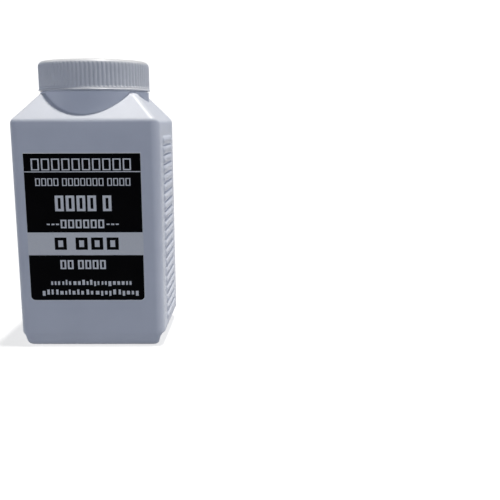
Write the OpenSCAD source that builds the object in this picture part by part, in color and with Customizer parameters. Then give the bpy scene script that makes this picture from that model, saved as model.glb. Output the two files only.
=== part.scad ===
// Rectangular wide-mouth jar of tumbling grit with a ribbed screw cap.
// Origin: centre of the base. +Z up, front face towards -Y, grip sides at +X and -X.

/* [Body] */
// Width across the flat sides, without the grip ribs
body_w = 95.6; // [92:0.2:98]
// Depth from the front face to the back face
body_d = 78; // [76:1:82]
// Height at which the narrow sides turn into the shoulder
shoulder_z = 147.4; // [146:0.1:148.4]
// Height at which the front and back turn into the shoulder
front_shoulder_z = 149; // [147.4:0.1:149.4]
// Radius of the four upright edges
edge_r = 4; // [3:0.5:8]
// Rise of the shoulder for each unit of run
shoulder_slope = 1.09; // [1.05:0.01:1.15]
// Thickness of the body wall
wall = 1.3; // [1:0.1:1.6]
// Depth of the dished panel under the base
dish_depth = 2; // [1:0.5:3]

/* [Grips] */
// Number of ribs on each grip side
rib_count = 20; // [10:1:20]
// Distance between ribs
rib_pitch = 6.26; // [5.5:0.02:6.4]
// Height of the lowest rib
rib_first_z = 16.3; // [15.5:0.1:17]
// Length of each rib, front to back
rib_length = 45; // [30:1:50]
// How far the ribs stand out from the side
rib_proud = 0.9; // [0.5:0.1:1.2]

/* [Neck] */
// Radius of the collar between the shoulder and the neck
collar_r = 35.9; // [35.6:0.1:36.2]
// Height of the collar's top face
collar_top = 166.8; // [166.3:0.1:167.1]
// Radius of the low ring where the neck rises from the collar
root_r = 34.4; // [34:0.1:34.5]
// Height of the ring
root_h = 1.2; // [0.6:0.1:1.3]
// Radius of the neck between its threads
neck_r = 33.3; // [33:0.1:33.4]
// Radius of the mouth, inside the land of the rim
mouth_r = 29.6; // [29:0.1:30.5]
// Radius of the neck's bore below the land
neck_bore_r = 31.2; // [30.6:0.1:31.6]
// Thickness of the land
land_h = 2.2; // [1.5:0.1:3]
// Height of the rim
rim_z = 183.7; // [183.2:0.1:184.2]

/* [Thread] */
// Rise of the thread in one turn
pitch = 7; // [6.6:0.1:7.2]
// Radius over the thread of the neck
thread_r = 34.6; // [34.2:0.1:34.6]
// Turns of thread on the neck
neck_turns = 1.75; // [1:0.05:1.75]
// Turns of thread in the cap
cap_turns = 1.3; // [1:0.1:1.4]
// Direction in which both threads end at the top
thread_end = 108; // [0:1:360]

/* [Cap] */
// Radius of the cap in the valleys of its grip
cap_r = 36; // [35.8:0.05:36.2]
// Number of ribs round the cap
cap_rib_count = 84; // [60:1:90]
// Radius of each rib of the cap
cap_rib_r = 0.5; // [0.3:0.1:0.6]
// Radius of the band at the foot of the cap
cap_band_r = 36.9; // [36.7:0.1:37.3]
// Height of the band
cap_band_h = 2; // [1:0.1:2.5]
// Thickness of the top of the cap
cap_top_wall = 1.8; // [1.6:0.1:2.2]
// Thickness of the sealing disc under the top of the cap
liner_h = 1.1; // [0.8:0.1:1.5]

/* [Label] */
// Width of the label
label_w = 75.2; // [60:0.1:76]
// Height of the lower edge of the label
label_bottom = 31.6; // [20:0.1:40]
// Height of the upper edge of the label
label_top = 128.3; // [110:0.1:130]
// Shift of the label to the side
label_shift = -1.8; // [-2:0.1:1]
// Radius of the corners of the label
label_corner_r = 3; // [1:0.5:6]
// Thickness of the label
label_t = 0.15; // [0.1:0.05:0.2]

/* [Grit] */
// Height of the level grit
grit_level = 140; // [100:1:142]

/* [Hidden] */
$fn = 96;

// Clearances between pieces
grit_gap = 0.15;
seal_gap = 0.05;
liner_side_gap = 0.35;
thread_gap = 0.25;
cap_foot_gap = 0.65;

// The base rounds under and steps out to the wall, as pairs of inset and height
base_steps = [[7.6, 0], [5.4, 1], [4, 3.2], [2.4, 6.6], [0, 9.3]];
floor_t = 1.6;
dish_inset = 14;
dish_corner_r = 4;

// Collar and throat
collar_foot_z = shoulder_z + 3;
collar_bore_r = collar_r - 2.1;
throat_z = collar_top - 2.6;
cavity_top = throat_z - 4;
moulded_r = 1;

// Each grip rib is a shallow arc, sunk a little into the wall
rib_w = rib_pitch * 0.84;
rib_sunk = 0.6;
rib_arc_r = (pow(rib_w / 2, 2) + pow(rib_proud, 2)) / (2 * rib_proud);

// A thread ridge is a trapezium with its foot sunk into the wall
ridge_sunk = 0.4;
ridge_fade = 30;
ridge_step = 7.5;
ridge_below_rim = 2.9;
neck_ridge = [2.6, 1];
cap_ridge = [2.2, 0.9];
cap_ridge_drop = 2.2;

// Cap
cap_foot_z = collar_top + cap_foot_gap;
liner_z = rim_z + seal_gap;
cap_ceiling_z = liner_z + liner_h + seal_gap;
cap_top_z = cap_ceiling_z + cap_top_wall;
cap_bore_r = thread_r + thread_gap;
cap_thread_r = neck_r + thread_gap + 0.05;
cap_top_edge_r = 3.2;
cap_rib_top_z = cap_top_z - cap_top_edge_r;

// A rectangle with round corners, centred
module round_rect(w, d, r) {
    square([w - 2 * r, d], center = true);
    square([w, d - 2 * r], center = true);
    for (sx = [-1, 1], sy = [-1, 1])
        translate([sx * (w / 2 - r), sy * (d / 2 - r)]) circle(r);
}

// Outline of the body seen square on: stepped base, straight sides and sloping shoulder
// that starts at edge_z. It lies inset from the outside of the body, on a floor, and is
// cut off level at top.
module body_outline(half, edge_z, inset, bottom, top) {
    side = half - inset;
    turn_z = edge_z - inset * (sqrt(1 + pow(shoulder_slope, 2)) - shoulder_slope);
    right = concat(
        [for (s = base_steps) [side - s[0], s[1] + bottom]],
        [[side, turn_z]],
        top > turn_z ? [[side - (top - turn_z) / shoulder_slope, top]] : []);
    left = [for (i = [len(right) - 1:-1:0]) [-right[i][0], right[i][1]]];
    polygon(concat(right, left));
}

// The shape of the body, inset from its outside
module body_form(inset, bottom, top) {
    intersection() {
        linear_extrude(height = top)
            round_rect(body_w - 2 * inset, body_d - 2 * inset, edge_r - inset);
        rotate([90, 0, 0])
            linear_extrude(height = body_d + 2, center = true)
                body_outline(body_w / 2, shoulder_z, inset, bottom, top);
        rotate([90, 0, 90])
            linear_extrude(height = body_w + 2, center = true)
                body_outline(body_d / 2, front_shoulder_z, inset, bottom, top);
    }
}

// The dished panel of the base, grown sideways by a margin
module dish(height, margin) {
    linear_extrude(height = height)
        round_rect(body_w - 2 * (dish_inset - margin), body_d - 2 * (dish_inset - margin),
            dish_corner_r + margin);
}

// The ribs of the grip side at +X
module grip_ribs() {
    rotate([90, 0, 0])
        linear_extrude(height = rib_length, center = true)
            for (i = [0:rib_count - 1])
                translate([body_w / 2 + rib_proud - rib_arc_r, rib_first_z + i * rib_pitch])
                    intersection() {
                        circle(rib_arc_r);
                        translate([rib_arc_r - rib_proud - rib_sunk, -rib_arc_r])
                            square([rib_proud + rib_sunk, 2 * rib_arc_r]);
                    }
}

// One ring of a thread ridge. widths holds the widths of its foot and its crest,
// and fade from 0 to 1 brings the crest up from the root.
function ridge_ring(root, crest, widths, angle, z, fade) =
    let (deep = root - sign(crest - root) * ridge_sunk,
         high = root + (crest - root) * fade,
         outline = [[deep, -widths[0]], [high, -widths[1]], [high, widths[1]], [deep, widths[0]]])
    [for (p = outline) [p[0] * cos(angle), p[0] * sin(angle), z + p[1] / 2]];

// A right-hand thread ridge that climbs to top_z at thread_end and fades out at both ends
module thread_ridge(root, crest, widths, turns, top_z) {
    sweep = turns * 360;
    steps = ceil(sweep / ridge_step);
    rings = [for (i = [0:steps])
        let (angle = i * sweep / steps,
             fade = max(0.02, min(1, angle / ridge_fade, (sweep - angle) / ridge_fade)))
        ridge_ring(root, crest, widths, thread_end + angle - sweep,
            top_z - pitch * (sweep - angle) / 360, fade)];
    sides = [for (i = [0:steps - 1], j = [0:3])
        let (k = (j + 1) % 4) [4 * i + j, 4 * i + k, 4 * i + 4 + k, 4 * i + 4 + j]];
    ends = [[3, 2, 1, 0], [for (j = [0:3]) 4 * steps + j]];
    polyhedron(
        points = [for (ring = rings, p = ring) p],
        faces = [for (f = concat(ends, sides)) crest > root ? f : [f[3], f[2], f[1], f[0]]],
        convexity = 6);
}

// A turned post with a rounded top edge, from a foot height up to a top height
module post(r, foot_z, top_z, round_r) {
    rotate_extrude() {
        translate([0, foot_z]) square([r, top_z - round_r - foot_z]);
        translate([0, foot_z]) square([r - round_r, top_z - foot_z]);
        translate([r - round_r, top_z - round_r]) intersection() {
            circle(round_r);
            square(round_r);
        }
    }
}

module jar_body() {
    color("white") difference() {
        union() {
            body_form(0, 0, collar_top - moulded_r);
            grip_ribs();
            mirror([1, 0, 0]) grip_ribs();
            post(collar_r, collar_foot_z, collar_top, moulded_r);
            translate([0, 0, collar_foot_z]) cylinder(r = root_r, h = collar_top + root_h - collar_foot_z);
            post(neck_r, collar_foot_z, rim_z, moulded_r);
            thread_ridge(neck_r, thread_r, neck_ridge, neck_turns, rim_z - ridge_below_rim);
        }
        difference() {
            body_form(wall, floor_t, cavity_top);
            dish(floor_t + dish_depth, floor_t);
        }
        translate([0, 0, collar_foot_z]) cylinder(r = collar_bore_r, h = throat_z - collar_foot_z);
        translate([0, 0, collar_foot_z]) cylinder(r = neck_bore_r, h = rim_z - land_h - collar_foot_z);
        translate([0, 0, collar_foot_z]) cylinder(r = mouth_r, h = rim_z);
        translate([0, 0, -1]) dish(dish_depth + 1, 0);
    }
}

module front_label() {
    color("black")
        translate([label_shift, -body_d / 2, (label_bottom + label_top) / 2])
            rotate([90, 0, 0])
                linear_extrude(height = label_t)
                    round_rect(label_w, label_top - label_bottom, label_corner_r);
}

module grit_fill() {
    color("dimgray") difference() {
        body_form(wall + grit_gap, floor_t + grit_gap, grit_level);
        dish(floor_t + dish_depth + grit_gap, floor_t + grit_gap);
    }
}

module cap_liner() {
    color("whitesmoke")
        translate([0, 0, liner_z]) cylinder(r = cap_bore_r - liner_side_gap, h = liner_h);
}

module screw_cap() {
    color("white") {
        difference() {
            union() {
                post(cap_r, cap_foot_z, cap_top_z, cap_top_edge_r);
                translate([0, 0, cap_foot_z]) cylinder(r = cap_band_r, h = cap_band_h);
                translate([0, 0, cap_foot_z])
                    linear_extrude(height = cap_rib_top_z - cap_foot_z)
                        for (i = [0:cap_rib_count - 1])
                            rotate(i * 360 / cap_rib_count) translate([cap_r, 0]) circle(cap_rib_r);
            }
            translate([0, 0, cap_foot_z - 1]) cylinder(r = cap_bore_r, h = cap_ceiling_z - cap_foot_z + 1);
        }
        thread_ridge(cap_bore_r, cap_thread_r, cap_ridge, cap_turns,
            rim_z - ridge_below_rim - cap_ridge_drop);
    }
}

jar_body();
front_label();
grit_fill();
cap_liner();
screw_cap();
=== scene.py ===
import math
import random

import bmesh
import bpy
from mathutils import Euler, Matrix, Vector


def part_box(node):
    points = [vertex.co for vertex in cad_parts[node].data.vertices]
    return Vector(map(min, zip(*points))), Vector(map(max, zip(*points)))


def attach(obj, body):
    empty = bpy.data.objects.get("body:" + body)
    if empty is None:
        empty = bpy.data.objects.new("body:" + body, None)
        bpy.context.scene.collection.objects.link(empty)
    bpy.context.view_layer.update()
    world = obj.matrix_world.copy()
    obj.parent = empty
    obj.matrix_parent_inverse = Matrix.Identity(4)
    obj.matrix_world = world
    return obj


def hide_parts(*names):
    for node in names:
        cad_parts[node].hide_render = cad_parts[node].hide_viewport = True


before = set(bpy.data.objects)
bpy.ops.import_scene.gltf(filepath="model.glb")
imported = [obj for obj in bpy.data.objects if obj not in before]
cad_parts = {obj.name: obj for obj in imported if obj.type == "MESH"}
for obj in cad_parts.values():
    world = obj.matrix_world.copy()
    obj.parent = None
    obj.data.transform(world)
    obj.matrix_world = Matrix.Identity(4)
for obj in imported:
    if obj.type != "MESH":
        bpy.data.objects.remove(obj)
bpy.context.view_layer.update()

# The object's sizes are in millimetres, and become metres where a mesh is made.
# The camera, the lights and the floor are placed in metres.
MM = 0.001


def node_box(node):
    """Lowest and highest corner of a CAD node, in millimetres."""
    low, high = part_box(node)
    return low / MM, high / MM


JAR_HIGH = node_box("jar_body")[1]
CAP_LOW, CAP_HIGH = node_box("screw_cap")
LINER_LOW, LINER_HIGH = node_box("cap_liner")
LABEL_LOW, LABEL_HIGH = node_box("front_label")
GRIT_TOP = node_box("grit_fill")[1].z

# Body of the jar
RIB_PROUD = 0.9
HALF_X = JAR_HIGH.x - RIB_PROUD
HALF_Y = JAR_HIGH.y
EDGE_R = 6.0
EDGE_R_FALL = 0.25
EDGE_R_LEAST = 2.0
HIP_R = 3.5
RIM_Z = JAR_HIGH.z
SHOULDER_Z = RIM_Z - 36.3
SHOULDER_SLOPE = 1.09
SHOULDER_ROUND = 1.1
FRONT_LIFT = 1.5
WALL = 1.3

# Foot of the jar, as inset and height from the standing ring up to the wall.
# The narrow sides step in, and the front and back only round under.
MIDDLE_INSET = 30.0
DISH_INSET = 14.0
DISH_DEPTH = 2.0
DISH_PATH = [(MIDDLE_INSET, DISH_DEPTH), (DISH_INSET, DISH_DEPTH), (DISH_INSET - 0.8, 0)]
SIDE_FOOT = DISH_PATH + [(7.8, 0), (5.3, 0.9), (4.4, 3.6), (3.2, 6.9), (0, 9.3), (0, 11.2)]
FRONT_FOOT = DISH_PATH + [(6.4, 0), (3.2, 0.6), (1.2, 2.4), (0.4, 5.2), (0, 9), (0, 11.2)]
FOOT_ROUNDS = [0, 0.8, 0.8, 1.1, 1.1, 1.0, 0.7, 0.3, 0]
FRONT_FOOT_ROUNDS = [0, 0.8, 0.8, 1.2, 1.1, 1.1, 1.2, 1.2, 0]

# How far a corner has turned to the front where one foot starts to become the other, and over
# what further share it does
FOOT_BLEND_START = 0.35
FOOT_BLEND_RUN = 0.6

# Inside of the jar: heights down its walls, then inset and height in to the middle of its floor
FLOOR_Z = 4.2
INSIDE_HEIGHTS = (142, 120, 80, 40, 12)
INSIDE_FOOT = ((2.6, 9), (4.4, 6), (7, FLOOR_Z), (MIDDLE_INSET, FLOOR_Z))

# Grip ribs on the two narrow sides
RIB_COUNT = 20
RIB_PITCH = 6.26
RIB_FIRST_Z = 16.3
RIB_HALF_LENGTH = 22.4
RIB_END = 2.0
GRIP_PAD = -0.2
GRIP_LOW = RIB_FIRST_Z - 0.5 * RIB_PITCH - 0.8
GRIP_TOP = RIB_FIRST_Z + (RIB_COUNT - 0.5) * RIB_PITCH + 0.8
GRIP_EDGE = 2.4

# The power by which a rib falls away from its crest, and where the mesh's level lines cross it,
# from -1 in the valley below to 1 in the valley above
RIB_FALL = 2.2
RIB_LEVELS = (-1, -0.93, -0.84, -0.72, -0.56, -0.36, -0.12, 0.12, 0.36, 0.56, 0.72, 0.84, 0.93)

# Collar, neck and mouth
COLLAR_R = 35.9
COLLAR_TOP = CAP_LOW.z - 0.65
COLLAR_ROUND = 0.6
COLLAR_FILLET = 0.6
COLLAR_GAP = 1.0
COLLAR_FOOT_GAP = 1.3
ROOT_R = 34.4
ROOT_TOP = COLLAR_TOP + 1.2
ROOT_ROUND = 0.3
THROAT_R = COLLAR_R - 2.1
THROAT_TOP = COLLAR_TOP - 5.2
NECK_R = 33.3
NECK_BORE_R = 31.2
NECK_BORE_FOOT = COLLAR_TOP - 3.5
MOUTH_R = 29.6
LAND_H = 2.2

# Thread
PITCH = 7.0
THREAD_END = math.radians(108)
THREAD_TOP = RIM_Z - 2.9
NECK_RIDGE = {"height": 1.3, "foot": 2.6, "crest": 1.1, "turns": 1.75, "top": THREAD_TOP}
CAP_RIDGE = {"height": 1.25, "foot": 2.2, "crest": 0.9, "turns": 1.3, "top": THREAD_TOP - 2.2}
RIDGE_FADE = math.radians(30)

# Cap
CAP_R = 36.5
CAP_GROOVES = 84
CAP_GROOVE_DEPTH = 0.55
CAP_GROOVE_POWER = 1.4
CAP_GROOVE_STEPS = 6
CAP_BAND_R = CAP_HIGH.x
CAP_GRIP_LOW = CAP_LOW.z + 2.0
CAP_BORE_R = 34.85
CAP_ROUND = 4.0

# Label, from the back of its film to the face of its light print
INK_T = 0.02
FILM_FRONT = LABEL_LOW.y + 2 * INK_T
INK_FRONT = LABEL_LOW.y + INK_T
FILM_LAYER = (-HALF_Y, FILM_FRONT)
INK_LAYER = (FILM_FRONT, INK_FRONT)
PRINT_LAYER = (INK_FRONT, LABEL_LOW.y)
FILM_CORNER = 3.2
FILM_LIP = 0.01
INK_CORNER = 2.8
INK_LEFT = LABEL_LOW.x + 0.2
INK_RIGHT = LABEL_HIGH.x - 0.3
LABEL_MARGIN = 0.45

# Heights on the label are above the lower edge of its printed area, and places across it are shares
# of its printed width.
INK_TOP = 95.8
BAND_LOW = 30.05
BAND_HIGH = 45.05
RULE_LOW = 83.9
RULE_HIGH = 84.5

# Lines of hollow blocks: letters in each word, left, right, low, high and upright stroke.
# Level strokes are LEVEL_STROKE as thick.
LIGHT_LINES = [((10,), 0.06, 0.92, 85.1, 92.6, 0.95), ((4, 7, 4), 0.09, 0.91, 75.2, 80.1, 0.7),
               ((4, 1), 0.25, 0.74, 58.9, 69.0, 1.9), ((6,), 0.29, 0.67, 47.8, 53.4, 1.15),
               ((2, 4), 0.27, 0.67, 20.8, 26.8, 1.2)]
BAND_LINE = ((1, 3), 0.23, 0.79, 33.6, 41.7, 2.3)
LEVEL_STROKE = 0.8

# Lines of small solid blocks: letters in each word, left, right, low and high.
# Some blocks are tall and some have a tail. The rest stop at SHORT_HEIGHT of the line.
SMALL_LINES = [((3, 3, 7, 8), 0.18, 0.89, 10.2, 13.6), ((3, 7, 2, 5, 5), 0.10, 0.95, 3.7, 7.1)]
SMALL_WIDTHS = (0.45, 0.9)
TALL_ODDS = 0.3
TAIL_ODDS = 0.1
SHORT_HEIGHT = 0.72
TAIL_DEPTH = 0.24

# Dashes beside the middle line
DASH_COUNT = 3
DASH_STARTS = (0.17, 0.69)
DASH_PITCH = 0.04
DASH_LENGTH = 0.027
DASH_LOW = 49.9
DASH_HIGH = 50.8

# Spaces between letters and between words, as shares of a letter
LETTER_GAP = 0.25
BAND_GAP = 0.3
WORD_GAP = 0.75
SMALL_GAP = 0.45
SMALL_WORD_GAP = 0.65

# Grit: inset and height of the bulk from the middle of its foot to its top, and its top grains
GRIT_OUTLINE = ((MIDDLE_INSET, 4.4), (8, 4.4), (4.7, 6.5), (2.8, 9.5), (1.5, 12.5), (1.5, GRIT_TOP - 0.6))
GRAINS_INSET = 2.2
GRAINS_FOOT = GRIT_TOP - 1.2
GRAINS_MIDDLE = GRIT_TOP - 0.45
GRAINS_SWELL = 0.18
GRAIN_JITTER = 0.2


# ---------------------------------------------------------------- curves

def mix(a, b, share):
    """The point or number at a share of the way from a to b."""
    if isinstance(a, tuple):
        return tuple(mix(p, q, share) for p, q in zip(a, b))
    return a + (b - a) * share


def steps(low, high, count):
    """Evenly spaced numbers from low to high, both included."""
    return [mix(low, high, i / (count - 1)) for i in range(count)]


def smooth(share):
    """Eases from 0 to 1."""
    share = min(1.0, max(0.0, share))
    return share * share * (3 - 2 * share)


def bend(before, corner, after, count):
    """Points on the curve that rounds a corner."""
    return [mix(mix(before, corner, s), mix(corner, after, s), s) for s in steps(0, 1, count)]


def towards(a, b, distance):
    """The point at a distance from a on the way to b."""
    return mix(a, b, min(0.5, distance / math.dist(a, b)))


def rounded(path, rounds, count=5):
    """A path of straight stretches with its corners rounded by the given lengths."""
    points = [path[0]]
    for before, corner, after, length in zip(path, path[1:], path[2:], rounds[1:]):
        if length:
            start, end = towards(corner, before, length), towards(corner, after, length)
            points += bend(start, corner, end, count)
        else:
            points.append(corner)
    return points + [path[-1]]


def ridge_height(ridge, angle, z):
    """How far a thread ridge stands out at an angle round the neck and a height."""
    sweep = ridge["turns"] * math.tau
    along = (angle - THREAD_END + sweep) % math.tau
    height = 0.0
    while along <= sweep:
        centre = ridge["top"] - PITCH * (sweep - along) / math.tau
        off = abs(z - centre)
        flank = (ridge["foot"] / 2 - off) / (ridge["foot"] / 2 - ridge["crest"] / 2)
        fade = min(1.0, along / RIDGE_FADE, (sweep - along) / RIDGE_FADE)
        height = max(height, ridge["height"] * smooth(flank) * smooth(fade))
        along += math.tau
    return height


# ---------------------------------------------------------------- meshes

def skin(bm, rows):
    """A skin over rows of points that run right round, with no seam and open at its end rows."""
    columns = len(rows[0])
    start = len(bm.verts)
    bmesh.ops.create_grid(bm, x_segments=columns, y_segments=len(rows) - 1, size=1)
    bm.verts.ensure_lookup_table()
    points = [row[i % columns] for row in rows for i in range(columns + 1)]
    for vert, point in zip(bm.verts[start:], points):
        vert.co = Vector(point) * MM
    bmesh.ops.remove_doubles(bm, verts=bm.verts[start:], dist=1e-7)


def close_ends(bm):
    """Closes the open end rings of a skin with flat faces."""
    ends = [edge for edge in bm.edges if edge.is_boundary]
    bmesh.ops.edgeloop_fill(bm, edges=ends)


def spun(points):
    """A turned solid from its outline of radius and height, foot to top."""
    bm = bmesh.new()
    verts = [bm.verts.new(Vector((r, 0, z)) * MM) for r, z in points]
    edges = [bm.edges.new(pair) for pair in zip(verts, verts[1:])]
    bmesh.ops.spin(bm, geom=verts + edges, cent=(0, 0, 0), axis=(0, 0, 1), angle=math.tau, steps=128,
                   use_merge=True, use_duplicate=False)
    bmesh.ops.remove_doubles(bm, verts=bm.verts, dist=1e-7)
    return bm


def piece(name, bm, material, body, replaces=(), sharp=40):
    """Makes a finished piece of a bmesh, and says what it rides on and stands for."""
    bmesh.ops.recalc_face_normals(bm, faces=bm.faces)
    mesh = bpy.data.meshes.new(name)
    bm.to_mesh(mesh)
    bm.free()
    mesh.shade_smooth()
    mesh.set_sharp_from_angle(angle=math.radians(sharp))
    mesh.materials.append(material)
    made = bpy.data.objects.new(name, mesh)
    bpy.context.scene.collection.objects.link(made)
    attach(made, body)
    if replaces:
        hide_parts(*replaces)


# ---------------------------------------------------------------- jar

def jar_columns():
    """The mesh's upright lines round the jar: place across, place along, and direction faced."""
    straight = HALF_Y - EDGE_R
    near = [y / straight for y in steps(0, RIB_HALF_LENGTH - RIB_END, 5)]
    end = [(RIB_HALF_LENGTH - RIB_END + RIB_END * math.sin(math.radians(a))) / straight
           for a in steps(15, 90, 6)]
    past = steps(end[-1], 1, 5)[1:]
    half = near + end + past
    grip = [-f for f in reversed(half)] + half[1:]
    plain = steps(-1, 1, 31)
    columns = []
    for quarter in range(4):
        turn = quarter * math.pi / 2
        for f in (grip if quarter % 2 == 0 else plain)[:-1]:
            place = [(1, f), (-f, 1), (-1, -f), (f, -1)][quarter]
            columns.append((place[0], place[1], turn))
        place = [(1, 1), (-1, 1), (-1, -1), (1, -1)][quarter]
        columns += [(place[0], place[1], turn + a) for a in steps(0, math.pi / 2, 11)[:-1]]
    return columns


def body_point(column, inset, z, proud=0.0):
    """A point on the jar's rounded rectangle, inset from its outside."""
    across, along, facing = column
    radius = max(EDGE_R_LEAST, EDGE_R - EDGE_R_FALL * inset)
    x = across * (HALF_X - inset - radius) + (radius + proud) * math.cos(facing)
    y = along * (HALF_Y - inset - radius) + (radius + proud) * math.sin(facing)
    return (x, y, z)


def rib_height(y, z):
    """How far the grip stands out from the side at a place on it."""
    number = min(RIB_COUNT - 1, max(0, round((z - RIB_FIRST_Z) / RIB_PITCH)))
    across = min(1.0, abs(z - RIB_FIRST_Z - number * RIB_PITCH) / (0.5 * RIB_PITCH))
    rib = GRIP_PAD + (RIB_PROUD - GRIP_PAD) * (1 - across ** RIB_FALL)
    into_end = (RIB_HALF_LENGTH - abs(y)) / RIB_END
    into_edge = min(z - GRIP_LOW, GRIP_TOP - z) / GRIP_EDGE
    return rib * smooth(into_end) * smooth(into_edge)


def grip_heights():
    """Heights of the mesh's level lines up the wall, closest together in the valleys between ribs."""
    heights = steps(GRIP_LOW, RIB_FIRST_Z - 0.5 * RIB_PITCH, 3)[:-1]
    heights += [RIB_FIRST_Z + (i + 0.5 * s) * RIB_PITCH for i in range(RIB_COUNT) for s in RIB_LEVELS]
    return heights + steps(RIB_FIRST_Z + (RIB_COUNT - 0.5) * RIB_PITCH, GRIP_TOP, 3)


def foot_rows(columns):
    """Rows from the middle of the dished base, over the standing ring and up to the wall."""
    side = rounded(SIDE_FOOT, FOOT_ROUNDS)[:-1]
    front = rounded(FRONT_FOOT, FRONT_FOOT_ROUNDS)[:-1]
    rows = []
    for side_point, front_point in zip(side, front):
        row = []
        for column in columns:
            facing_front = abs(math.sin(column[2]))
            share = smooth((facing_front - FOOT_BLEND_START) / FOOT_BLEND_RUN)
            inset, z = mix(side_point, front_point, share)
            row.append(body_point(column, inset, z))
        rows.append(row)
    return rows


def wall_rows(columns):
    """Rows up the upright walls, with the grip ribs on the two narrow sides."""
    rows = []
    for z in grip_heights():
        row = []
        for c in columns:
            on_side = abs(math.sin(c[2])) < 1e-6
            y = body_point(c, 0, z)[1]
            row.append(body_point(c, 0, z, rib_height(y, z) if on_side else 0.0))
        rows.append(row)
    return rows


def inset_of(x, y):
    """How far inside the foot of the shoulder a plan point lies, with the hips rounded."""
    a = abs(x) - HALF_X + HIP_R
    b = abs(y) - HALF_Y - FRONT_LIFT / SHOULDER_SLOPE + HIP_R
    if abs(a - b) >= HIP_R:
        return HIP_R - max(a, b)
    return (math.sqrt(2 * HIP_R ** 2 - (a - b) ** 2) - a - b) / 2


def shoulder_z(radius, angle, wall=0.0):
    """Height of the shoulder at a distance from the jar's axis, lowered by a wall."""
    drop = wall * math.sqrt(1 + SHOULDER_SLOPE ** 2)
    inset = inset_of(radius * math.cos(angle), radius * math.sin(angle))
    return SHOULDER_Z + SHOULDER_SLOPE * inset - drop


def collar_path():
    """Radius and height over the collar's edge, and over the ring at the foot of the neck."""
    edge = bend((COLLAR_R, COLLAR_TOP - COLLAR_ROUND), (COLLAR_R, COLLAR_TOP),
                (COLLAR_R - COLLAR_ROUND, COLLAR_TOP), 5)
    root = [(ROOT_R + 0.4, COLLAR_TOP), (ROOT_R, COLLAR_TOP), (ROOT_R, ROOT_TOP), (NECK_R, ROOT_TOP),
            (NECK_R, ROOT_TOP + 0.6)]
    return edge + rounded(root, [0, ROOT_ROUND, ROOT_ROUND, ROOT_ROUND, 0], 3)


def shoulder_path(angle, wall_r):
    """Radius and height up one line of the shoulder, from the wall to the foot of the collar."""
    run = wall_r - COLLAR_R
    after_r = wall_r - min(SHOULDER_ROUND, 0.4 * run)
    foot_z = min(shoulder_z(COLLAR_R, angle), COLLAR_TOP - COLLAR_FOOT_GAP)
    rise = COLLAR_TOP - COLLAR_ROUND - foot_z
    fillet = min(COLLAR_FILLET, 0.75 * rise, 0.4 * run)
    before_r = COLLAR_R + fillet
    edge_z = shoulder_z(wall_r, angle)
    points = bend((wall_r, edge_z - SHOULDER_ROUND * 1.5), (wall_r, edge_z),
                  (after_r, shoulder_z(after_r, angle)), 7)
    points += [(r, min(shoulder_z(r, angle), COLLAR_TOP - COLLAR_GAP))
               for r in steps(after_r, before_r, 12)[1:-1]]
    before_z = min(shoulder_z(before_r, angle), COLLAR_TOP - 0.5 * (COLLAR_GAP + COLLAR_FOOT_GAP))
    return points + bend((before_r, before_z), (COLLAR_R, foot_z), (COLLAR_R, foot_z + fillet), 6)


def neck_path():
    """Radius and height up the neck, and then over the rim and down inside to the throat."""
    outside = [(NECK_R, z) for z in steps(ROOT_TOP + 1.0, RIM_Z - 1.1, 42)]
    land_z = RIM_Z - LAND_H
    land = [(NECK_R, RIM_Z), (MOUTH_R, RIM_Z), (MOUTH_R, land_z), (NECK_BORE_R, land_z - 1),
            (NECK_BORE_R, NECK_BORE_FOOT), (THROAT_R, THROAT_TOP)]
    over = rounded([outside[-1]] + land, [0, 0.9, 0.8, 0.7, 0.5, 1.2, 0])[1:]
    return outside, over


def polar(angle, radius, z):
    """A point from its angle round the axis, its radius and its height."""
    return (radius * math.cos(angle), radius * math.sin(angle), z)


def upper_rows(columns):
    """Rows over the shoulder, up the threaded neck and down inside the mouth."""
    outside, over = neck_path()
    lines = []
    for column in columns:
        x, y, _ = body_point(column, 0, 0)
        angle = math.atan2(y, x)
        line = [polar(angle, r, z) for r, z in shoulder_path(angle, math.hypot(x, y)) + collar_path()]
        line += [polar(angle, r + ridge_height(NECK_RIDGE, angle, z), z) for r, z in outside]
        line += [polar(angle, r, z) for r, z in over]
        lines.append(line)
    return [list(row) for row in zip(*lines)]


def inner_rows(columns):
    """Rows down the inside of the shoulder and walls to the middle of the floor."""
    lines = []
    for column in columns:
        x, y, _ = body_point(column, WALL, 0)
        angle = math.atan2(y, x)
        line = [polar(angle, r, min(shoulder_z(r, angle, WALL), THROAT_TOP - 1))
                for r in steps(THROAT_R, math.hypot(x, y), 10)]
        line += [body_point(column, WALL, z) for z in INSIDE_HEIGHTS]
        line += [body_point(column, inset, z) for inset, z in INSIDE_FOOT]
        lines.append(line)
    return [list(row) for row in zip(*lines)]


def make_jar(material):
    """The jar as one closed wall: outside, rim and inside."""
    columns = jar_columns()
    rows = foot_rows(columns) + wall_rows(columns) + upper_rows(columns) + inner_rows(columns)
    bm = bmesh.new()
    skin(bm, rows)
    close_ends(bm)
    piece("jar_shell", bm, material, "jar", ["jar_body"])


# ---------------------------------------------------------------- cap

def cap_groove(angle):
    """How deep the cap's grip is cut at an angle, from 0 on a rib to 1 in a groove."""
    return (0.5 - 0.5 * math.cos(angle * CAP_GROOVES)) ** CAP_GROOVE_POWER


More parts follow.
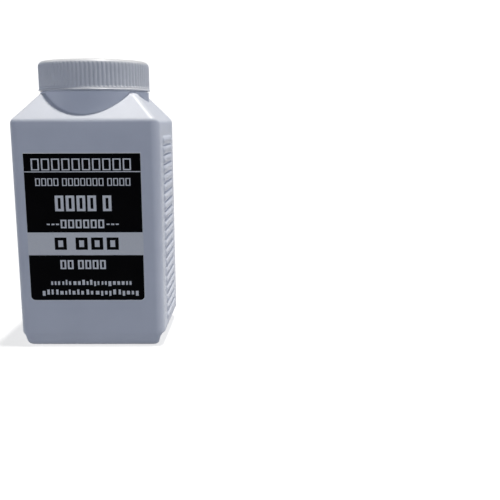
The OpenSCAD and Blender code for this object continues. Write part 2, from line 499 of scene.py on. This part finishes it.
def cap_outline():
    """The cap's outside as radius, height and share of the grooves' depth, from foot to top."""
    foot, top = CAP_LOW.z, CAP_HIGH.z
    rows = [(CAP_BORE_R + 0.5, foot, 0), (CAP_BAND_R - 0.3, foot, 0), (CAP_BAND_R, foot + 0.25, 0),
            (CAP_BAND_R, foot + 0.7, 0), (CAP_R + 0.1, foot + 1.0, 0), (CAP_R, foot + 1.3, 0),
            (CAP_R, CAP_GRIP_LOW, 0), (CAP_R, CAP_GRIP_LOW + 0.45, 1)]
    rows += [(CAP_R, z, 1) for z in steps(CAP_GRIP_LOW + 1, top - CAP_ROUND - 0.5, 6)]
    edge = bend((CAP_R, top - CAP_ROUND), (CAP_R, top), (CAP_R - CAP_ROUND, top), 19)
    rows += [(r, z, 1) for r, z in edge]
    rows += [(r, top - 0.02, 0) for r in (31.4, 30.2)]
    rows += [(29.6, top - 0.15, 0), (29.2, top - 0.3, 0), (20, top - 0.32, 0), (10, top - 0.34, 0)]
    rows += [(3.2, top - 0.35, 0), (2.9, top - 0.6, 0), (1, top - 0.62, 0)]
    return rows


def cap_inside():
    """The cap's inside as radius and height, from the ceiling's middle out and down to the foot."""
    ceiling = LINER_HIGH.z + 0.05
    rows = [(r, ceiling) for r in (1, 15, 30, CAP_BORE_R - 0.4)]
    rows.append((CAP_BORE_R, ceiling - 0.4))
    rows += [(CAP_BORE_R, z) for z in steps(ceiling - 0.8, CAP_LOW.z + 0.8, 42)]
    return rows + [(CAP_BORE_R, CAP_LOW.z + 0.3)]


def bore_row(radius, z, angles):
    """A level row of the cap's inside, with the thread standing in from the bore."""
    if radius < CAP_BORE_R:
        return [polar(a, radius, z) for a in angles]
    return [polar(a, radius - ridge_height(CAP_RIDGE, a, z), z) for a in angles]


def grip_row(radius, z, share, angles):
    """A level row of the cap's outside, cut back to the floors of the grooves."""
    if radius > CAP_R:
        return [polar(a, radius, z) for a in angles]
    return [polar(a, min(radius, CAP_R - CAP_GROOVE_DEPTH * share * cap_groove(a)), z) for a in angles]


def make_cap(material):
    """The ribbed screw cap with its inner thread."""
    count = CAP_GROOVES * CAP_GROOVE_STEPS
    angles = [math.tau * i / count for i in range(count)]
    rows = [bore_row(r, z, angles) for r, z in cap_inside()]
    rows += [grip_row(r, z, share, angles) for r, z, share in cap_outline()]
    bm = bmesh.new()
    skin(bm, rows)
    close_ends(bm)
    piece("ribbed_cap", bm, material, "cap", ["screw_cap"])


def make_liner(material):
    """The sealing disc, with the ring that the rim has pressed into it."""
    r, low, high = LINER_HIGH.x, LINER_LOW.z, LINER_HIGH.z
    outline = [(0, low), (MOUTH_R - 1, low), (MOUTH_R, low + 0.12), (NECK_R - 1, low + 0.12),
               (NECK_R, low + 0.02), (r - 0.2, low), (r, low + 0.2), (r, high - 0.2),
               (r - 0.2, high), (0, high)]
    piece("liner_disc", spun(outline), material, "liner", ["cap_liner"])


# ---------------------------------------------------------------- label

def label_spot(share):
    """Sideways place of a share of the printed width."""
    return mix(LABEL_LOW.x + LABEL_MARGIN, LABEL_HIGH.x - LABEL_MARGIN, share)


def label_z(height):
    """Height of a place above the lower edge of the printed area."""
    return LABEL_LOW.z + LABEL_MARGIN + height


def plate(bm, left, right, low, high, layer):
    """A thin upright plate facing the front. Gives its corner points."""
    back, front = layer
    made = bmesh.ops.create_cube(bm, size=1)["verts"]
    centre = Vector(((left + right) / 2, (back + front) / 2, (low + high) / 2)) * MM
    bmesh.ops.scale(bm, verts=made, vec=Vector((right - left, back - front, high - low)) * MM)
    bmesh.ops.translate(bm, verts=made, vec=centre)
    return made


def round_lower_corners(bm, made, radius):
    """Rounds the two lower corners of a plate."""
    middle = sum(vert.co.z for vert in made) / len(made)
    lower = [e for e in bm.edges if e.verts[0] in made and e.verts[0].co.z < middle]
    corners = [e for e in lower if abs(e.verts[0].co.y - e.verts[1].co.y) > 1e-7]
    bmesh.ops.bevel(bm, geom=corners, offset=radius * MM, offset_type="OFFSET", affect="EDGES",
                    segments=8, profile=0.5, material=-1)


def hollow_block(bm, left, right, low, high, stroke, layer):
    """A block of print with an empty middle, as one closed frame."""
    made = plate(bm, left, right, low, high, layer)
    ends = [face for face in bm.faces if face.verts[0] in made and abs(face.normal.y) > 0.9]
    bmesh.ops.inset_individual(bm, faces=ends, thickness=stroke * MM, use_even_offset=True)
    inner = {vert for face in ends for vert in face.verts}
    height = high - low
    taller = (height - 2 * LEVEL_STROKE * stroke) / (height - 2 * stroke)
    middle = Matrix.Translation((0, 0, -(low + high) / 2 * MM))
    bmesh.ops.scale(bm, verts=list(inner), vec=(1, 1, taller), space=middle)
    edges = [edge for face in ends for edge in face.edges]
    bmesh.ops.delete(bm, geom=ends, context="FACES_ONLY")
    bmesh.ops.bridge_loops(bm, edges=edges)


def block_line(bm, line, layer, gap):
    """A line of print as a row of hollow letter-sized blocks, grouped like words."""
    words, left, right, low, high, stroke = line
    total = sum(words) + gap * (sum(words) - len(words)) + WORD_GAP * (len(words) - 1)
    unit = (label_spot(right) - label_spot(left)) / total
    x = label_spot(left)
    for count in words:
        for _ in range(count):
            hollow_block(bm, x, x + unit, label_z(low), label_z(high), stroke, layer)
            x += (1 + gap) * unit
        x += (WORD_GAP - gap) * unit


def small_line(bm, line, rng):
    """A line of small print as a row of plain blocks of uneven size, grouped like words."""
    words, left, right, low, high = line
    low, high = label_z(low), label_z(high)
    letters = [[rng.uniform(*SMALL_WIDTHS) for _ in range(count)] for count in words]
    spaces = sum(SMALL_GAP * (count - 1) for count in words) + SMALL_WORD_GAP * (len(words) - 1)
    unit = (label_spot(right) - label_spot(left)) / (sum(map(sum, letters)) + spaces)
    x = label_spot(left)
    for word in letters:
        for width in word:
            draw = rng.random()
            tall = high if draw < TALL_ODDS else mix(low, high, SHORT_HEIGHT)
            deep = low - TAIL_DEPTH * (high - low) if draw > 1 - TAIL_ODDS else low
            plate(bm, x, x + width * unit, deep, tall, PRINT_LAYER)
            x += (width + SMALL_GAP) * unit
        x += (SMALL_WORD_GAP - SMALL_GAP) * unit


def make_label_film(material):
    """The label's pale film, leaning back to the jar above its printed area."""
    bm = bmesh.new()
    top = LABEL_HIGH.z - LABEL_MARGIN
    film = plate(bm, LABEL_LOW.x, LABEL_HIGH.x, LABEL_LOW.z, LABEL_HIGH.z, FILM_LAYER)
    round_lower_corners(bm, film, FILM_CORNER)
    bmesh.ops.bisect_plane(bm, geom=bm.verts[:] + bm.edges[:] + bm.faces[:], dist=1e-7,
                           plane_co=(0, 0, top * MM), plane_no=(0, 0, 1))
    for vert in bm.verts:
        if vert.co.z > (top + 0.5 * LABEL_MARGIN) * MM and vert.co.y < -(HALF_Y + 2 * FILM_LIP) * MM:
            vert.co.y = -(HALF_Y + FILM_LIP) * MM
    piece("label_film", bm, material, "jar", ["front_label"], sharp=5)


def make_label_ink(material):
    """The two black printed fields, over and under the pale band."""
    bm = bmesh.new()
    plate(bm, INK_LEFT, INK_RIGHT, label_z(BAND_HIGH), label_z(INK_TOP), INK_LAYER)
    lower = plate(bm, INK_LEFT, INK_RIGHT, label_z(0), label_z(BAND_LOW), INK_LAYER)
    round_lower_corners(bm, lower, INK_CORNER)
    piece("label_black_print", bm, material, "jar")


def make_light_print(material):
    """Plain blocks where a label has its lines of print, with dashes and the rule under the heading."""
    rng = random.Random(4)
    bm = bmesh.new()
    plate(bm, label_spot(0), label_spot(1), label_z(RULE_LOW), label_z(RULE_HIGH), PRINT_LAYER)
    for line in LIGHT_LINES:
        block_line(bm, line, PRINT_LAYER, LETTER_GAP)
    for start in DASH_STARTS:
        for i in range(DASH_COUNT):
            left = start + DASH_PITCH * i
            plate(bm, label_spot(left), label_spot(left + DASH_LENGTH), label_z(DASH_LOW),
                  label_z(DASH_HIGH), PRINT_LAYER)
    for line in SMALL_LINES:
        small_line(bm, line, rng)
    piece("label_light_print", bm, material, "jar")


def make_band_print(material):
    """Dark blocks on the pale band."""
    bm = bmesh.new()
    block_line(bm, BAND_LINE, INK_LAYER, BAND_GAP)
    piece("label_band_print", bm, material, "jar")


# ---------------------------------------------------------------- grit

def make_grit(material):
    """The grit in the jar, up to just under its top grains."""
    columns = jar_columns()
    bm = bmesh.new()
    skin(bm, [[body_point(column, inset, z) for column in columns] for inset, z in GRIT_OUTLINE])
    close_ends(bm)
    piece("grit_bulk", bm, material, "jar", ["grit_fill"], sharp=20)


def make_grit_top(material):
    """A rough sheet of sharp grains over the grit, with its edge turned down and closed."""
    rng = random.Random(11)
    half_x, half_y = HALF_X - GRAINS_INSET, HALF_Y - GRAINS_INSET
    bm = bmesh.new()
    bmesh.ops.create_grid(bm, x_segments=190, y_segments=150, size=1)
    for vert in bm.verts:
        x = vert.co.x * half_x + rng.uniform(-GRAIN_JITTER, GRAIN_JITTER)
        y = vert.co.y * half_y + rng.uniform(-GRAIN_JITTER, GRAIN_JITTER)
        swell = GRAINS_SWELL * math.cos(x * 0.09 + 0.6) * math.cos(y * 0.11)
        rise = swell + rng.uniform(-GRAIN_JITTER, GRAIN_JITTER)
        vert.co = Vector((x, y, GRAINS_MIDDLE + rise)) * MM
    bmesh.ops.triangulate(bm, faces=bm.faces[:])
    rim = [e for e in bm.edges if e.is_boundary]
    sides = bmesh.ops.extrude_edge_only(bm, edges=rim)["geom"]
    for vert in [part for part in sides if isinstance(part, bmesh.types.BMVert)]:
        vert.co.z = GRAINS_FOOT * MM
    close_ends(bm)
    piece("grit_surface", bm, material, "jar", sharp=5)


# ---------------------------------------------------------------- materials

def new_material(name):
    """A material with a Principled shader fed by Object coordinates."""
    material = bpy.data.materials.new(name)
    material.use_nodes = True
    tree = material.node_tree
    shader = tree.nodes["Principled BSDF"]
    coords = tree.nodes.new("ShaderNodeTexCoord").outputs["Object"]
    return material, tree, shader, coords


def noise(tree, coords, scale, detail):
    """Noise by the metre on Object coordinates."""
    node = tree.nodes.new("ShaderNodeTexNoise")
    node.inputs["Scale"].default_value = scale
    node.inputs["Detail"].default_value = detail
    tree.links.new(coords, node.inputs["Vector"])
    return node.outputs["Fac"]


def cells(tree, coords, scale):
    """Small cells by the metre on Object coordinates."""
    node = tree.nodes.new("ShaderNodeTexVoronoi")
    node.inputs["Scale"].default_value = scale
    tree.links.new(coords, node.inputs["Vector"])
    return node


def blend_colours(tree, share, low, high, start=0.3, end=0.7):
    """A colour that goes from low to high as share goes from start to end."""
    ramp = tree.nodes.new("ShaderNodeValToRGB")
    ramp.color_ramp.elements[0].position = start
    ramp.color_ramp.elements[0].color = (*low, 1)
    ramp.color_ramp.elements[1].position = end
    ramp.color_ramp.elements[1].color = (*high, 1)
    tree.links.new(share, ramp.inputs["Fac"])
    return ramp.outputs["Color"]


def spread(tree, share, low, high):
    """A number that goes from low to high as share goes from 0.3 to 0.7."""
    node = tree.nodes.new("ShaderNodeMapRange")
    node.inputs["From Min"].default_value = 0.3
    node.inputs["From Max"].default_value = 0.7
    node.inputs["To Min"].default_value = low
    node.inputs["To Max"].default_value = high
    tree.links.new(share, node.inputs["Value"])
    return node.outputs["Result"]


def bump(tree, shader, height, distance, strength, under=None):
    """Raises a height on the shader, over another bump if there is one."""
    node = tree.nodes.new("ShaderNodeBump")
    node.inputs["Distance"].default_value = distance
    node.inputs["Strength"].default_value = strength
    tree.links.new(height, node.inputs["Height"])
    if under:
        tree.links.new(under, node.inputs["Normal"])
    tree.links.new(node.outputs["Normal"], shader.inputs["Normal"])
    return node.outputs["Normal"]


def moulded_plastic(name, colour, shade, roughness, skin_scale):
    """White moulded plastic: faint clouding, a fine moulded skin and uneven gloss."""
    material, tree, shader, coords = new_material(name)
    cloud = noise(tree, coords, 45, 3)
    tree.links.new(blend_colours(tree, cloud, shade, colour), shader.inputs["Base Color"])
    tree.links.new(spread(tree, noise(tree, coords, 120, 4), roughness - 0.05, roughness + 0.05),
                   shader.inputs["Roughness"])
    waves = bump(tree, shader, noise(tree, coords, 60, 2), 0.00012, 0.6)
    bump(tree, shader, noise(tree, coords, skin_scale, 3), 0.00002, 0.7, waves)
    shader.inputs["IOR"].default_value = 1.5
    shader.inputs["Subsurface Weight"].default_value = 0.12
    shader.inputs["Subsurface Radius"].default_value = (1.0, 1.0, 1.0)
    shader.inputs["Subsurface Scale"].default_value = 0.0015
    return material


def printed(name, colour, speck, roughness, specular=0.5):
    """Printed film with a faint grain of specks."""
    material, tree, shader, coords = new_material(name)
    specks = noise(tree, coords, 1800, 2)
    tree.links.new(blend_colours(tree, specks, colour, speck, 0.5, 0.75), shader.inputs["Base Color"])
    tree.links.new(spread(tree, noise(tree, coords, 90, 3), roughness - 0.06, roughness + 0.06),
                   shader.inputs["Roughness"])
    bump(tree, shader, noise(tree, coords, 150, 3), 0.00003, 0.5)
    shader.inputs["Specular IOR Level"].default_value = specular
    return material


def foam():
    """Closed-cell foam of the sealing disc."""
    material, tree, shader, coords = new_material("liner_foam")
    depth = cells(tree, coords, 2600).outputs["Distance"]
    colour = blend_colours(tree, depth, (0.86, 0.86, 0.84), (0.74, 0.74, 0.72), 0.2, 0.8)
    tree.links.new(colour, shader.inputs["Base Color"])
    bump(tree, shader, depth, 0.00006, 0.6)
    shader.inputs["Roughness"].default_value = 0.7
    return material


def grit_grains():
    """Dark silicon carbide, with a lighter colour painted on some grains as glinting facets."""
    material, tree, shader, coords = new_material("silicon_carbide")
    grains = cells(tree, coords, 2400)
    split = tree.nodes.new("ShaderNodeSeparateColor")
    tree.links.new(grains.outputs["Color"], split.inputs["Color"])
    # Painted glints: some grains are coloured lighter grey to stand in for light off their facets, and the
    # rest stay near black
    colour = blend_colours(tree, split.outputs["Red"], (0.012, 0.013, 0.018), (0.35, 0.37, 0.42), 0.55, 1.0)
    tree.links.new(colour, shader.inputs["Base Color"])
    tree.links.new(spread(tree, split.outputs["Green"], 0.15, 0.55), shader.inputs["Roughness"])
    bump(tree, shader, grains.outputs["Distance"], 0.0002, 0.8)
    shader.inputs["Metallic"].default_value = 0.35
    return material


# ---------------------------------------------------------------- studio

CAMERA_AT = (0.1092, -0.4967, (SHOULDER_Z + 3.2) * MM)
CAMERA_LENS = 51.66
CAMERA_TILT = math.radians(79.444)
CAMERA_TURN = math.radians(0.54)
CAMERA_ROLL = math.radians(-0.205)

# The sky, and the share of its colour at heights from 0, straight below, to 1, straight above
SKY = (0.531, 0.588, 0.736)
SKY_BANDS = [(0.0, 0.02), (0.22, 0.02), (0.32, 1.0), (0.58, 1.0), (0.68, 0.03), (1.0, 0.03)]
BACKGROUND_GLOW = 1.1

# Lights and floor
SUN_FROM = Vector((0.13, 0.0, 0.99))
SUN_POWER = 3.2
SUN_COLOUR = (1.0, 0.985, 0.95)
SUN_ANGLE = math.radians(3)
LOW_LIGHT_AT = (0.125, 0.0, 0.0)
LOW_LIGHT_FROM = Vector((1, 0, -0.1))
LOW_LIGHT_SIZE = 0.08
LOW_LIGHT_POWER = 0.013
FLOOR_R = 60.0
FLOOR_GLOW = 0.76


def make_camera():
    """A camera to the right of the jar, level with its shoulder and tilted down."""
    data = bpy.data.cameras.new("camera")
    data.sensor_width = 36.0
    data.lens = CAMERA_LENS
    camera = bpy.data.objects.new("camera", data)
    bpy.context.scene.collection.objects.link(camera)
    camera.location = CAMERA_AT
    aim = Euler((CAMERA_TILT, 0, CAMERA_TURN)).to_matrix()
    camera.rotation_euler = (aim @ Matrix.Rotation(CAMERA_ROLL, 3, "Z")).to_euler()
    bpy.context.scene.camera = camera


def sky_bands(tree):
    """Sky colour by height: brightest round the level of the jar, dim overhead and below."""
    ways = tree.nodes.new("ShaderNodeTexCoord").outputs["Generated"]
    split = tree.nodes.new("ShaderNodeSeparateXYZ")
    tree.links.new(ways, split.inputs["Vector"])
    height = tree.nodes.new("ShaderNodeMapRange")
    height.inputs["From Min"].default_value = -1.0
    tree.links.new(split.outputs["Z"], height.inputs["Value"])
    ramp = tree.nodes.new("ShaderNodeValToRGB")
    stops = ramp.color_ramp.elements
    while len(stops) < len(SKY_BANDS):
        stops.new(0.5)
    for stop, (place, share) in zip(stops, SKY_BANDS):
        stop.position = place
        stop.color = (*[channel * share for channel in SKY], 1)
    tree.links.new(height.outputs["Result"], ramp.inputs["Fac"])
    return ramp.outputs["Color"]


def make_world():
    """Soft bluish light from round about, with a background that is seen as white."""
    world = bpy.data.worlds.new("studio")
    bpy.context.scene.world = world
    world.use_nodes = True
    tree = world.node_tree
    fill = tree.nodes["Background"]
    tree.links.new(sky_bands(tree), fill.inputs["Color"])
    fill.inputs["Strength"].default_value = 1.0
    white = tree.nodes.new("ShaderNodeBackground")
    white.inputs["Color"].default_value = (1, 1, 1, 1)
    white.inputs["Strength"].default_value = BACKGROUND_GLOW
    path = tree.nodes.new("ShaderNodeLightPath")
    choose = tree.nodes.new("ShaderNodeMixShader")
    tree.links.new(path.outputs["Is Camera Ray"], choose.inputs["Fac"])
    tree.links.new(fill.outputs["Background"], choose.inputs[1])
    tree.links.new(white.outputs["Background"], choose.inputs[2])
    tree.links.new(choose.outputs["Shader"], tree.nodes["World Output"].inputs["Surface"])


def make_lights():
    """A sun almost straight above, a little to the right, and a weak light low at the right."""
    sun = bpy.data.lights.new("high_sun", "SUN")
    sun.energy = SUN_POWER
    sun.color = SUN_COLOUR
    sun.angle = SUN_ANGLE
    lamp = bpy.data.objects.new("high_sun", sun)
    lamp.rotation_euler = SUN_FROM.to_track_quat("Z", "Y").to_euler()
    bpy.context.scene.collection.objects.link(lamp)
    low = bpy.data.lights.new("low_right", "AREA")
    low.size = LOW_LIGHT_SIZE
    low.energy = LOW_LIGHT_POWER
    lamp = bpy.data.objects.new("low_right", low)
    lamp.location = LOW_LIGHT_AT
    lamp.rotation_euler = LOW_LIGHT_FROM.to_track_quat("Z", "Y").to_euler()
    lamp.visible_camera = False
    bpy.context.scene.collection.objects.link(lamp)


def make_floor():
    """A plain pale floor, bright enough that shadows on it stay light."""
    bm = bmesh.new()
    bmesh.ops.create_circle(bm, cap_ends=True, segments=96, radius=FLOOR_R)
    mesh = bpy.data.meshes.new("floor")
    bm.to_mesh(mesh)
    bm.free()
    material, tree, shader, coords = new_material("floor_paper")
    paper = noise(tree, coords, 300, 4)
    colour = blend_colours(tree, paper, (0.29, 0.29, 0.30), (0.33, 0.33, 0.33))
    tree.links.new(colour, shader.inputs["Base Color"])
    shader.inputs["Roughness"].default_value = 0.9
    shader.inputs["Emission Color"].default_value = (1, 1, 1, 1)
    shader.inputs["Emission Strength"].default_value = FLOOR_GLOW
    mesh.materials.append(material)
    floor = bpy.data.objects.new("floor", mesh)
    bpy.context.scene.collection.objects.link(floor)
    floor.visible_diffuse = False


# ---------------------------------------------------------------- scene

def build():
    """Sets the studio up and makes every piece."""
    bpy.context.scene.view_settings.view_transform = "Standard"
    make_camera()
    make_world()
    make_lights()
    make_floor()
    make_jar(moulded_plastic("jar_plastic", (0.83, 0.85, 0.90), (0.79, 0.81, 0.86), 0.42, 2200))
    make_cap(moulded_plastic("cap_plastic", (0.86, 0.86, 0.86), (0.82, 0.82, 0.82), 0.36, 1600))
    make_liner(foam())
    white = printed("label_stock", (0.91, 0.90, 0.87), (0.85, 0.84, 0.82), 0.4)
    black = printed("black_ink", (0.0004, 0.0004, 0.0008), (0.002, 0.002, 0.003), 0.6, specular=0.03)
    light = printed("light_ink", (0.95, 0.94, 0.90), (0.80, 0.80, 0.78), 0.5)
    make_label_film(white)
    make_label_ink(black)
    make_light_print(light)
    make_band_print(black)
    grains = grit_grains()
    make_grit(grains)
    make_grit_top(grains)


build()
